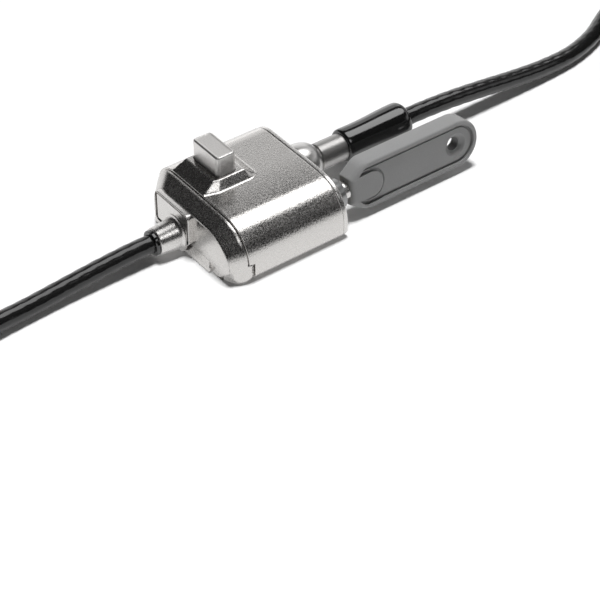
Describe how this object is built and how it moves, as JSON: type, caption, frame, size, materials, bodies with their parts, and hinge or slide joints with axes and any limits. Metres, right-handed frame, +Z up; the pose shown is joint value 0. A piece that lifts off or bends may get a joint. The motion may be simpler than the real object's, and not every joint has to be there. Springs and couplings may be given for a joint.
{
  "type": "cable lock",
  "caption": "Compact push-button cable lock: key cylinder at one end, sprung button on top, a plug-in cable end on the left and a fixed coated cable tied up in a hank on the right.",
  "frame": {"origin": "middle of the housing's underside, on the surface it rests on", "axes": "+X along the cables towards the key and the fixed cable, +Y from the key side to the cable side, +Z up through the button"},
  "size_m": [0.3822, 0.0555, 0.0297],
  "materials": {
    "satin_nickel": "finely grained satin nickel",
    "satin_end": "smooth satin nickel",
    "polished_nickel": "polished nickel",
    "zinc_steel": "plain bright steel",
    "brass": "machined brass",
    "black_vinyl": "glossy black vinyl over steel strand",
    "black_sleeve": "smooth glossy black plastic",
    "grey_plastic": "matte mid grey plastic",
    "black_tie": "black strap"
  },
  "bodies": {
    "housing": {"cover": "satin_nickel", "base_plate": "zinc_steel", "end_cap": "satin_nickel", "end_plate": "satin_end", "cover_screws": "zinc_steel", "inner_block": "zinc_steel", "block_screws": "zinc_steel", "barrel": "satin_end", "barrel_pin": "zinc_steel", "button_spring": "zinc_steel", "collar": "polished_nickel", "cable_stop": "zinc_steel", "cable_core": "black_vinyl", "ferrule": "polished_nickel", "sleeve": "black_sleeve", "cable": "black_vinyl", "cable_hank": "black_vinyl", "cable_tail": "black_vinyl", "eye_ferrule": "polished_nickel", "hank_tie": "black_tie"},
    "button": {"button": "satin_end", "bolt": "zinc_steel", "button_pin": "zinc_steel"},
    "cylinder": {"rotor": "brass", "discs": "brass", "rotor_clip": "zinc_steel", "cam": "zinc_steel"},
    "catch": {"catch": "brass"},
    "key": {"key_blade": "satin_end", "key_grip": "grey_plastic"},
    "lead": {"plug": "satin_end", "lead_cable": "black_vinyl", "lead_ferrule": "polished_nickel"}
  },
  "joints": [
    {"name": "button_press", "type": "slide", "parent": "housing", "child": "button", "axis": [0, 0, 1], "range_m": [-0.0045, 0], "stiffness_N_per_m": 400, "springref_m": 0.001, "deforming": ["button_spring"]},
    {"name": "key_turn", "type": "hinge", "parent": "housing", "child": "cylinder", "pos_m": [0, -0.013, 0.0087], "axis": [1, 0, 0], "range_deg": [-86, 0]},
    {"name": "catch_slide", "type": "slide", "parent": "housing", "child": "catch", "axis": [0, 1, 0], "range_m": [0, 0.0031]},
    {"name": "key_pull", "type": "slide", "parent": "cylinder", "child": "key", "axis": [1, 0, 0], "range_m": [0, 0.022]},
    {"name": "plug_pull", "type": "slide", "parent": "housing", "child": "lead", "axis": [-1, 0, 0], "range_m": [0, 0.015]}
  ],
  "couplings": [
    {"joint": "catch_slide", "follows": "key_turn", "m_per_rad": -0.0019992}
  ]
}
